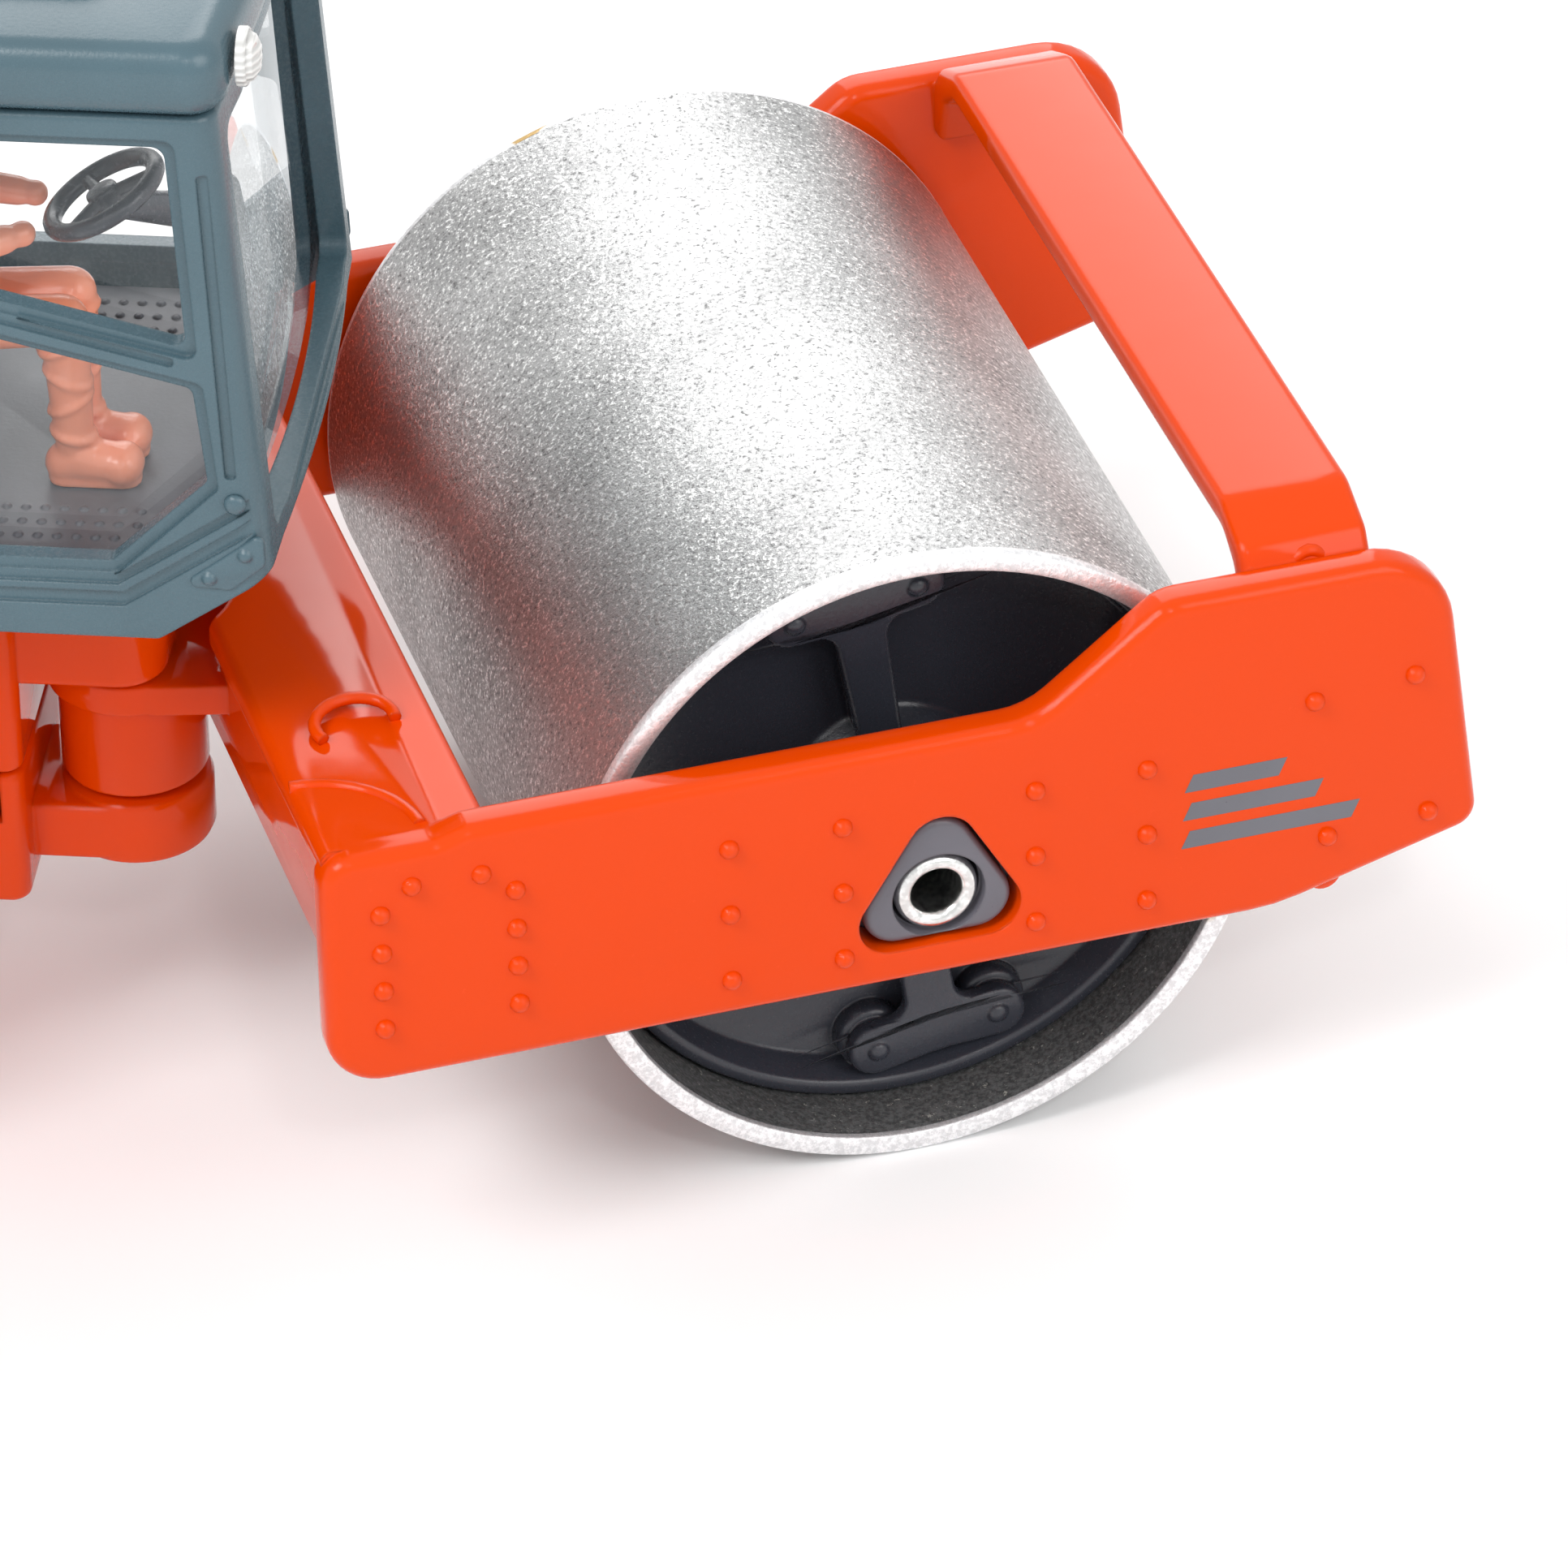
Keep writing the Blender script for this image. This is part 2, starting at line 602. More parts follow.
# ---------------------------------------------------------------- drum
def build_drum_shell(steel, hub):
    """Smooth rolled drum, open at both ends."""
    half = HALF_FRAME - DRUM_RIM_BEHIND_PLATE
    inner = DRUM_RADIUS - DRUM_WALL
    edge = 0.22
    profile = [
        (DRUM_RADIUS, -half + edge),
        (DRUM_RADIUS, half - edge),
        (DRUM_RADIUS - edge, half),
        (inner, half),
        (inner, -half),
        (DRUM_RADIUS - edge, -half),
    ]
    add("drum_shell", revolve(profile, "Y", 40), steel, hub)


def tee_outline():
    """One arm of a drum end, drawn along +X: a stem and a cross bar with round ends."""
    half_stem = STEM_WIDTH / 2
    bar_in, bar_out = TEE_REACH - TEE_RADIUS, TEE_REACH + TEE_RADIUS
    end = TEE_HALF_SPAN + TEE_RADIUS
    return rounded(
        [
            (HUB_RADIUS - 1.0, -half_stem * 0.85, 0),
            (bar_in, -half_stem, 0),
            (bar_in, -end, TEE_RADIUS * 0.95),
            (bar_out, -end, TEE_RADIUS * 0.95),
            (bar_out, end, TEE_RADIUS * 0.95),
            (bar_in, end, TEE_RADIUS * 0.95),
            (bar_in, half_stem, 0),
            (HUB_RADIUS - 1.0, half_stem * 0.85, 0),
        ],
        step=45,
    )


def build_drum_ends(plastic, hub):
    """Dished discs inside the drum, with T-shaped arms that stand on rubber-mount bosses."""
    outer = DRUM_RADIUS - DRUM_WALL - DISC_FIT
    for name, side in SIDES:

        def depth(value, side=side):
            return side * (HALF_FRAME - value)

        web, back = depth(DISC_WEB_DEPTH), depth(DISC_WEB_DEPTH + DISC_WEB_THICKNESS)
        flange = depth(DISC_FLANGE_DEPTH)
        hub_face = depth(PLATE_THICKNESS + SEAT_GAP + BLOCK_FLANGE + RUN_GAP)
        bore = AXLE_RADIUS + SEAT_GAP
        profile = [
            (bore, hub_face),
            (HUB_RADIUS - 1.4, hub_face),
            (HUB_RADIUS - 1.4, flange),
            (HUB_RADIUS, flange),
            (HUB_RADIUS + 0.5, web),
            (outer - DISC_RIM_WIDTH - 0.3, web),
            (outer - DISC_RIM_WIDTH, flange),
            (outer, flange),
            (outer, back),
            (bore, back),
        ]
        disc = add(f"drum_end_{name}", revolve(profile, "Y", 20), plastic, hub)
        for number in range(ARM_COUNT):
            angle = FIRST_ARM_ANGLE + number * 360 / ARM_COUNT
            turn = Matrix.Rotation(math.radians(-angle), 4, "Y")
            arm = prism(tee_outline(), "Y", *sorted((flange + side * 0.02, flange - side * TEE_THICKNESS)))
            rib = block(
                (HUB_RADIUS - 0.5, TEE_REACH - TEE_RADIUS * 0.4),
                (-1, 1),
                (-STEM_WIDTH * 0.42, STEM_WIDTH * 0.42),
                axis="Y",
            )
            for vert in rib.verts:
                vert.co.y = flange - side * TEE_THICKNESS * 0.5 if vert.co.y * side > 0 else web - side * 0.5
            bmesh.ops.recalc_face_normals(rib, faces=rib.faces)
            span = sorted((flange - side * 0.4, web - side * 0.5))
            heights = (-TEE_HALF_SPAN, TEE_HALF_SPAN)
            bosses = [rod("Y", BUFFER_RADIUS, *span, (TEE_REACH - 0.25, 0, z), 6) for z in heights]
            for solid in (arm, rib, *bosses):
                bmesh.ops.transform(solid, matrix=turn, verts=solid.verts)
            join(disc, arm, rib, *bosses)


# ---------------------------------------------------------------- knuckle and chassis
def build_pin(steel, chassis):
    """Headed pin that the front section steers on."""
    lug_bottom = BARREL_BOTTOM - RUN_GAP - LOWER_LUG_THICKNESS
    head = lug_bottom - SEAT_GAP
    profile = [
        (0, head - 0.8),
        (PIN_HEAD_RADIUS - 0.4, head - 0.8),
        (PIN_HEAD_RADIUS, head - 0.4),
        (PIN_HEAD_RADIUS, head),
        (PIN_RADIUS, head),
        (PIN_RADIUS, FLANGE_BOTTOM + 4.2),
        (PIN_RADIUS - 0.3, FLANGE_BOTTOM + 4.5),
        (0, FLANGE_BOTTOM + 4.5),
    ]
    add("articulation_pin", revolve(profile, "Z", 12), steel, chassis)


def build_upper_casting(paint, chassis):
    """Cast rear body: steering arm, neck, cab platform, side tanks, engine tub and bumper."""
    seam = SEAM_HEIGHT + SEAT_GAP / 2
    neck_back = -TUB_FRONT - TUB_FRONT_WALL
    neck = block((neck_back, -NECK_FRONT), (-NECK_HALF_WIDTH, NECK_HALF_WIDTH), (seam, CAB_SEAT_HEIGHT), 0.8)
    arm_bottom = FLANGE_BOTTOM + FLANGE_THICKNESS + RUN_GAP
    arm = prism(
        rounded(
            [
                (-NECK_FRONT - 2, -ARM_HALF_WIDTH, 0),
                (ARM_NOSE, -ARM_HALF_WIDTH, ARM_NOSE_ROUND),
                (ARM_NOSE, ARM_HALF_WIDTH, ARM_NOSE_ROUND),
                (-NECK_FRONT - 2, ARM_HALF_WIDTH, 0),
            ]
        ),
        "Z",
        arm_bottom,
        CAB_SEAT_HEIGHT - 0.02,
    )
    ledge = TANK_HALF_WIDTH + PLATFORM_OVERHANG
    platform = block(
        (-TUB_FRONT - 0.5, -PLATFORM_FRONT),
        (-ledge, ledge),
        (CAB_SEAT_HEIGHT - PLATFORM_THICKNESS, CAB_SEAT_HEIGHT - 0.04),
        1.0,
        rim=0.3,
    )
    tanks = [
        prism(
            rounded(
                [
                    (-TANK_BACK, TANK_BOTTOM, 1.0),
                    (-TANK_FRONT - 2.0, TANK_BOTTOM, 2.0),
                    (-TANK_FRONT, CAB_SEAT_HEIGHT - PLATFORM_THICKNESS - 4, 1.5),
                    (-TANK_FRONT, CAB_SEAT_HEIGHT - PLATFORM_THICKNESS + 1, 0),
                    (-TANK_BACK, CAB_SEAT_HEIGHT - PLATFORM_THICKNESS + 1, 0),
                ]
            ),
            "Y",
            *sorted((side * (NECK_HALF_WIDTH + SEAT_GAP), side * TANK_HALF_WIDTH)),
            0.5,
        )
        for _, side in SIDES
    ]
    tub = block((-TUB_BACK, -TUB_FRONT), (-TUB_HALF_WIDTH, TUB_HALF_WIDTH), (seam + 0.02, TUB_TOP), 1.2)
    bumper = block(
        (-BUMPER_BACK, -BUMPER_BACK + BUMPER_DEPTH),
        (-BUMPER_HALF_WIDTH, BUMPER_HALF_WIDTH),
        (SEAM_HEIGHT + SEAT_GAP, SEAM_HEIGHT + SEAT_GAP + BUMPER_HEIGHT),
        1.4,
        rim=0.5,
    )
    ears = [
        prism(
            rounded(
                [
                    (-TUB_BACK + 1.0, HINGE_Z - 4.5, 0),
                    (-TUB_BACK + 1.0, HINGE_Z - 0.9, 0),
                    (HINGE_X + 0.2, HINGE_Z + HINGE_KNUCKLE_RADIUS - 0.1, 1.0),
                    (HINGE_X - HINGE_KNUCKLE_RADIUS, HINGE_Z + 0.6, 1.0),
                    (HINGE_X - HINGE_KNUCKLE_RADIUS, HINGE_Z - 1.2, 1.0),
                ]
            ),
            "Y",
            *sorted((side * (HINGE_HALF_WIDTH - EAR_WIDTH), side * HINGE_HALF_WIDTH)),
        )
        for _, side in SIDES
    ]
    body = join(add("rear_upper_casting", neck, paint, chassis), arm, platform, *tanks, tub, bumper, *ears)
    inner = TUB_HALF_WIDTH - TUB_WALL
    bay = block((-TUB_BACK + TUB_WALL, neck_back), (-inner, inner), (TUB_FLOOR, TUB_TOP + 3), 0.8)
    pin_bore = rod("Z", PIN_RADIUS + SEAT_GAP, arm_bottom - 1, FLANGE_BOTTOM + 4.8, steps=12)
    axle = rod("Y", AXLE_REAR_RADIUS + SEAT_GAP, -20, 20, (-REAR_AXLE_BEHIND, 0, TYRE_RADIUS), 12)
    hinge = rod("Y", HINGE_PIN_RADIUS + SEAT_GAP, -12, 12, (HINGE_X, 0, HINGE_Z), 10)
    return cut(body, bay, pin_bore, axle, hinge)


def build_lower_casting(paint, chassis):
    """Cast belly: lower steering lug, front post and the base plate that traps the rear axle."""
    seam = SEAM_HEIGHT - SEAT_GAP / 2
    lug_top = BARREL_BOTTOM - RUN_GAP
    lug_bottom = lug_top - LOWER_LUG_THICKNESS
    half = NECK_HALF_WIDTH
    post = block((-NECK_FRONT - 6, -NECK_FRONT), (-half, half), (CHASSIS_BOTTOM, seam), 0.9)
    lug = rod("Z", LOWER_LUG_RADIUS, lug_bottom, lug_top, steps=20, chamfer=0.3)
    half = LOWER_LUG_RADIUS - 0.1
    neck = block((-NECK_FRONT - 1, 0), (-half, half), (lug_bottom + 0.3, lug_top - 0.3))
    belly = prism(
        rounded(
            [
                (-NECK_FRONT - 3, seam - 0.02, 0),
                (-TUB_BACK, seam - 0.02, 0),
                (-TUB_BACK, BELLY_BOTTOM + 2, 1.0),
                (-TUB_BACK + 5, BELLY_BOTTOM, 2.5),
                (-NECK_FRONT - 3, BELLY_BOTTOM, 0),
            ]
        ),
        "Y",
        -TUB_HALF_WIDTH + 0.01,
        TUB_HALF_WIDTH - 0.01,
    )
    waist = [
        block(
            (-TUB_FRONT, 0),
            tuple(sorted((side * NECK_HALF_WIDTH, side * (TUB_HALF_WIDTH + 2)))),
            (BELLY_BOTTOM - 1, seam + 1),
        )
        for _, side in SIDES
    ]
    body = add("rear_lower_casting", belly, paint, chassis)
    cut(body, *waist)
    join(body, post, neck, lug)
    pin_bore = rod("Z", PIN_RADIUS + SEAT_GAP, lug_bottom - 1, lug_top + 1, steps=12)
    axle = rod("Y", AXLE_REAR_RADIUS + SEAT_GAP, -20, 20, (-REAR_AXLE_BEHIND, 0, TYRE_RADIUS), 12)
    recesses = [
        rod("Z", SCREW_HEAD_RADIUS + SEAT_GAP, BELLY_BOTTOM - 1, BELLY_BOTTOM + SCREW_SINK, (x, 0, 0), 12)
        for x in SCREW_PLACES
    ]
    return cut(body, pin_bore, axle, *recesses)


def build_screws(steel, chassis):
    """Two cross-slotted screws, sunk in the base plate."""
    top = BELLY_BOTTOM + SCREW_SINK - SEAT_GAP
    for name, x in zip(("front", "rear"), SCREW_PLACES):
        profile = [(0, top - 1.2), (SCREW_HEAD_RADIUS - 0.5, top - 1.2), (SCREW_HEAD_RADIUS, top - 0.8)]
        profile += [(SCREW_HEAD_RADIUS, top), (0, top)]
        head = add(f"chassis_screw_{name}", revolve(profile, "Z", 12, (x, 0, 0)), steel, chassis)
        spans = ((0.9, 0.22), (0.22, 0.9))
        slots = [block((x - long, x + long), (-wide, wide), (top - 2, top - 0.6)) for long, wide in spans]
        cut(head, *slots)


def build_steps(plastic, chassis):
    """Ladder of two treads on the outer face of each side tank."""
    face = TANK_HALF_WIDTH + SEAT_GAP
    low, high = TANK_BOTTOM + 1.1, CAB_SEAT_HEIGHT - PLATFORM_THICKNESS - SEAT_GAP
    for name, side in SIDES:
        span = sorted((side * face, side * (face + STEP_BACK_THICKNESS)))
        back = block((-TANK_BACK + 1.2, -TANK_FRONT - 2.2), span, (low, high), 0.6, "Y")
        ladder = add(f"access_step_{name}", back, plastic, chassis)
        for number in range(STEP_COUNT):
            height = low + 1.8 + STEP_PITCH * number
            tread = block(
                (-TANK_BACK + 1.6, -TANK_FRONT - 2.6),
                tuple(sorted((side * (face + 0.4), side * (face + STEP_DEPTH)))),
                (height, height + 0.9),
                0.5,
            )
            join(ladder, tread)


def build_rear_lights(lens, chassis):
    """Round tail lamps on the bumper's rear face."""
    for name, side in SIDES:
        centre = (-BUMPER_BACK - SEAT_GAP, side * (BUMPER_HALF_WIDTH - 3.2), SEAM_HEIGHT + 3.1)
        profile = [(0, 0), (LAMP_RADIUS, 0), (LAMP_RADIUS, -0.5), (LAMP_RADIUS * 0.64, -0.95), (0, -1.1)]
        add(f"rear_light_{name}", revolve(profile, "X", 12, centre), lens, chassis)


# ---------------------------------------------------------------- wheels
def build_rear_axle(steel, chassis):
    """Plain steel axle trapped between the two castings."""
    half = WHEEL_OFFSET + TYRE_WIDTH / 2 - 0.9
    centre = (-REAR_AXLE_BEHIND, 0, TYRE_RADIUS)
    add("rear_axle", rod("Y", AXLE_REAR_RADIUS, -half, half, centre, 12, 0.25), steel, chassis)


def build_rim(name, side, paint, hub):
    """Dished wheel with a round hub and hand holes."""
    half = TYRE_WIDTH / 2
    bead = BEAD_RADIUS - SEAT_GAP
    bore = AXLE_REAR_RADIUS + SEAT_GAP

    def out(value):
        return side * value

    profile = [
        (bore, out(half - 1.3)),
        (2.4, out(half - 1.3)),
        (2.6, out(half - 2.8)),
        (bead - 1.6, out(half - 3.4)),
        (bead - 0.9, out(half - 0.45)),
        (bead + 0.5, out(half - 0.45)),
        (bead + 0.5, out(half - 0.85)),
        (bead, out(half - 1.1)),
        (bead, out(-half + 0.8)),
        (bead - 0.9, out(-half + 0.8)),
        (bead - 1.0, out(half - 4.8)),
        (2.6, out(half - 4.8)),
        (2.4, out(-half + 0.4)),
        (bore, out(-half + 0.4)),
    ]
    rim = add(f"rim_{name}", revolve(profile, "Y", 16), paint, hub)
    holes = []
    for number in range(RIM_HOLES):
        angle = math.tau * (number + 0.5) / RIM_HOLES
        spot = (RIM_HOLE_CIRCLE * math.cos(angle), 0, RIM_HOLE_CIRCLE * math.sin(angle))
        holes.append(rod("Y", RIM_HOLE_RADIUS, *sorted((out(half), out(half - 6))), spot, 6))
    cut(rim, merged(holes))


def tread_lug(side, phase):
    """One slanted bar of the tractor tread, wrapped over the crown from the middle to the shoulder."""
    solid = bmesh.new()
    crown = TYRE_RADIUS - LUG_HEIGHT
    stations = []
    for share, sink in ((-0.06, 0.0), (0.6, 0.05), (1.02, 0.9)):
        y = side * share * TYRE_WIDTH / 2
        angle = phase + math.radians(LUG_LEAD) * share
        half = LUG_WIDTH / 2 / TYRE_RADIUS
        ring = []
        for radius, spread in ((crown - 0.6 - sink, 1.25), (TYRE_RADIUS - sink, 0.8)):
            for sign in (-1, 1):
                a = angle + sign * half * spread
                ring.append(solid.verts.new((radius * math.cos(a), y, radius * math.sin(a))))
        stations.append([ring[0], ring[1], ring[3], ring[2]])
    for first, second in zip(stations, stations[1:]):
        for n in range(4):
            solid.faces.new([first[n - 1], first[n], second[n], second[n - 1]])
    solid.faces.new(stations[0])
    solid.faces.new(list(reversed(stations[-1])))
    bmesh.ops.recalc_face_normals(solid, faces=solid.faces)
    return solid


def build_tyre(name, side, rubber, hub):
    """Tractor tyre: a round carcass with staggered chevron lugs."""
    half = TYRE_WIDTH / 2
    crown = TYRE_RADIUS - LUG_HEIGHT
    bead = BEAD_RADIUS
    half_profile = [
        (bead, half - 1.4),
        (bead + 2.0, half - 0.1),
        (crown - 2.2, half - 0.1),
        (crown, half - 1.6),
    ]
    profile = half_profile + [(radius, -y) for radius, y in reversed(half_profile)]
    tyre = add(f"tyre_{name}", revolve(profile, "Y", 2 * LUGS_PER_SIDE), rubber, hub)
    pitch = math.tau / LUGS_PER_SIDE
    lugs = [tread_lug(1, number * pitch) for number in range(LUGS_PER_SIDE)]
    lugs += [tread_lug(-1, (number + 0.5) * pitch) for number in range(LUGS_PER_SIDE)]
    join(tyre, merged(lugs))


# ---------------------------------------------------------------- cab
def lean_at(height):
    """How far back the cab's front stands at a height."""
    return math.tan(math.radians(CAB_LEAN)) * (height - CAB_BOTTOM)


def cab_plan(inset=0.0):
    """Cab seen from above, with its bowed front."""
    half, rear = CAB_HALF_WIDTH - inset, -CAB_REAR + inset
    front = CAB_FRONT - inset
    corner = max(CAB_CORNER - inset, CAB_CORNER / 4)
    shares = (-0.75, -0.45, -0.15, 0.15, 0.45, 0.75)
    bow = [(front + CAB_BOW * (1 - share**2), half * 0.82 * share, 0) for share in shares]
    right = [(rear, -half, CAB_CORNER), (front, -half, corner)]
    return rounded([*right, *bow, (front, half, corner), (rear, half, CAB_CORNER)])


def cab_solid(inset, low, high):
    """Upright prism on the cab's plan whose front leans back."""
    solid = prism(cab_plan(inset), "Z", low, high)
    for vert in solid.verts:
        if vert.co.x > 0:
            vert.co.x -= lean_at(vert.co.z)
    return solid


def chamfer_tool():
    """Wedge under the cab's lower front corner."""
    slope = CHAMFER_HEIGHT / (CAB_FRONT - CHAMFER_START)
    reach = 6.0
    return prism(
        [
            (CHAMFER_START - reach, CAB_BOTTOM - reach * slope),
            (CHAMFER_START + 2 * reach, CAB_BOTTOM + 2 * reach * slope),
            (CHAMFER_START + 2 * reach, CAB_BOTTOM - 6),
        ],
        "Y",
        -20,
        20,
    )


def side_windows():
    """Openings of both side walls: door below and above its bar, and the rear quarter."""
    top = CAB_TOP - HEADER_DEPTH
    door_back = -9.2
    bar = math.tan(math.radians(14))
    post = CAB_FRONT - 2.75
    low_edge = [
        (door_back, CAB_SILL, 0.6),
        (CHAMFER_START - 1.7, CAB_SILL, 0.4),
        (post, CAB_SILL + 4.3, 0.4),
        (post - 0.45, CAB_SILL + 9.0, 0.5),
        (door_back, CAB_SILL + 9.0 + bar * (post - door_back), 0.6),
    ]
    lift = 2.0
    high_edge = [
        (door_back, CAB_SILL + 9.0 + lift + bar * (post - door_back), 0.6),
        (post - 0.6, CAB_SILL + 9.0 + lift, 0.5),
        (post - 1.1, top, 0.6),
        (door_back, top, 0.6),
    ]
    quarter = rectangle(-CAB_REAR + 1.9, door_back - 1.9, CAB_SILL + 2.5, top, 0.9)
    return [prism(outline, "Y", -20, 20) for outline in (rounded(low_edge), rounded(high_edge), quarter)]


def groove_outline(height):
    """Moulded line along the skirt at a height, which climbs with the cut-away corner."""
    low = CAB_BOTTOM + height
    bend = CHAMFER_START - 0.9 - height * 0.2
    rise = (CAB_FRONT + 1 - bend) * CHAMFER_HEIGHT / (CAB_FRONT - CHAMFER_START)
    lower = [(-CAB_REAR - 1, low), (bend, low), (CAB_FRONT + 1, low + rise)]
    return lower + [(u, v + GROOVE_WIDTH) for u, v in reversed(lower)]


def build_cab_frame(plastic, chassis):
    """Moulded cab frame: sill ring, pillars, door bar and header, open at top and bottom."""
    frame = add("cab_frame", cab_solid(0, CAB_BOTTOM, CAB_TOP), plastic, chassis)
    inside = cab_solid(CAB_WALL, CAB_BOTTOM - 2, CAB_TOP + 2)
    half, top = CAB_HALF_WIDTH - PILLAR_WIDTH, CAB_TOP - HEADER_DEPTH
    front = block((0, 20), (-half, half), (CAB_SILL + 0.8, top), 0.8, "X")
    rear = block((-CAB_REAR - 9, -CAB_REAR + 9), (-half + 0.5, half - 0.5), (CAB_SILL + 5.5, top), 0.8, "X")
    deep, clear = CAB_HALF_WIDTH - GROOVE_WIDTH, CAB_HALF_WIDTH + 1
    spans = ((-clear, -deep), (deep, clear))
    grooves = [prism(groove_outline(height), "Y", *span) for height in GROOVE_HEIGHTS for span in spans]
    return cut(frame, chamfer_tool(), inside, front, rear, *side_windows(), *grooves)


def build_cab_glazing(clear, chassis):
    """Clear insert: one moulded bubble that fills the frame from the sill to the roof."""
    inset = CAB_WALL + SEAT_GAP
    low = CAB_SILL - GLASS_LAP
    glass = add("cab_glazing", cab_solid(inset, low, CAB_TOP - 0.1), clear, chassis)
    corner = chamfer_tool()
    bmesh.ops.translate(corner, verts=corner.verts, vec=(0, 0, 2.2))
    return cut(glass, corner, cab_solid(inset + GLASS_THICKNESS, low - 3, CAB_TOP - 0.1 - GLASS_THICKNESS))


def build_cab_floor(plastic, chassis):
    """Floor pan with a raised tread plate and a seat plinth."""
    inset = CAB_WALL + SEAT_GAP
    pan = add("cab_floor", cab_solid(inset, CAB_BOTTOM + 0.05, CAB_BOTTOM + 1.6), plastic, chassis)
    tread = cab_solid(inset + GLASS_THICKNESS + 0.5, CAB_BOTTOM + 1.0, FLOOR_TOP)
    root = FLOOR_TOP - 0.5
    plinth = block((-14, -6.5), (DRIVER_Y - 3.6, DRIVER_Y + 3.6), (root, FLOOR_TOP + SEAT_PLINTH), 0.8)
    half = CAB_HALF_WIDTH - inset - GLASS_THICKNESS - 1.15
    shelf = block((-CAB_REAR + 2.6, -13.7), (-half, half), (root, FLOOR_TOP + 5.0), 0.6)
    corner = chamfer_tool()
    bmesh.ops.translate(corner, verts=corner.verts, vec=(0, 0, SEAT_GAP))
    return cut(join(pan, tread, plinth, shelf), corner)


def build_cab_roof(plastic, chassis):
    """Roof cap with rounded edges and a raised centre."""
    low = CAB_TOP + SEAT_GAP
    roof = cab_solid(-ROOF_OVERHANG, low, low + ROOF_THICKNESS - 1.0)
    top = [e for e in roof.edges if all(v.co.z > low + 1 for v in e.verts)]
    bmesh.ops.bevel(roof, geom=top, offset=1.1, segments=2, profile=0.5, affect="EDGES")
    cap = add("cab_roof", roof, plastic, chassis)
    half = CAB_HALF_WIDTH - 4.4
    span = (-CAB_REAR + 5, CAB_FRONT - 6.6)
    crown = block(span, (-half, half), (low + 1, low + ROOF_THICKNESS), 1.6, rim=0.6)
    return join(cap, crown)


def build_seat(plastic, chassis):
    """Seat with bolsters, backrest, headrest and arm rests."""
    low = FLOOR_TOP + SEAT_PLINTH + SEAT_GAP
    cushion = block((-13.2, -5.6), (DRIVER_Y - 3.7, DRIVER_Y + 3.7), (low, low + CUSHION), 1.2, rim=0.4)
    seat = add("driver_seat", cushion, plastic, chassis)
    top = low + 11.5
    profile = rounded([(-12.9, low + 1, 0), (-10.6, low + 1, 0), (-11.9, top, 0.9), (-14.0, top, 0.9)])
    back = prism(profile, "Y", DRIVER_Y - 3.4, DRIVER_Y + 3.4, 0.5)
    head = block((-14.0, -12.4), (DRIVER_Y - 1.7, DRIVER_Y + 1.7), (low + 11.0, low + 14.4), 0.7, "X")
    rests = [
        block((-11.6, -5.8), (middle - 0.55, middle + 0.55), (low + 2.0, low + 5.4))
        for middle in (DRIVER_Y - 4.0, DRIVER_Y + 4.0)
    ]
    return join(seat, back, head, *rests)


def build_console(plastic, chassis):
    """Instrument console with its column and steering wheel."""
    low = FLOOR_TOP + SEAT_GAP
    profile = rounded([(4.4, low, 0), (6.9, low, 0), (5.4, low + 10.5, 0.8), (2.9, low + 10.5, 0.8)])
    console = prism(profile, "Y", 1.2, 4.2, 0.3)
    body = add("steering_console", console, plastic, chassis)
    centre = Vector(WHEEL_CENTRE)
    tilt = Matrix.Translation(centre) @ Matrix.Rotation(math.radians(-28), 4, "Y")
    rim = [(2.6 + 0.42 * math.cos(a), 0.42 * math.sin(a)) for a in (n * math.tau / 5 for n in range(5))]
    wheel = revolve(rim, "Z", 14)
    boss = rod("Z", 0.75, -1.0, 0.35, steps=10)
    spokes = block((-2.6, 2.6), (-0.35, 0.35), (-0.3, 0.2))
    for solid in (wheel, boss, spokes):
        bmesh.ops.transform(solid, matrix=tilt, verts=solid.verts)
    column = limb(centre + Vector((0.25, 0.1, -0.5)), (4.15, 2.3, low + 9.4), 0.6, 0.9)
    return join(body, column, boss, spokes, wheel)


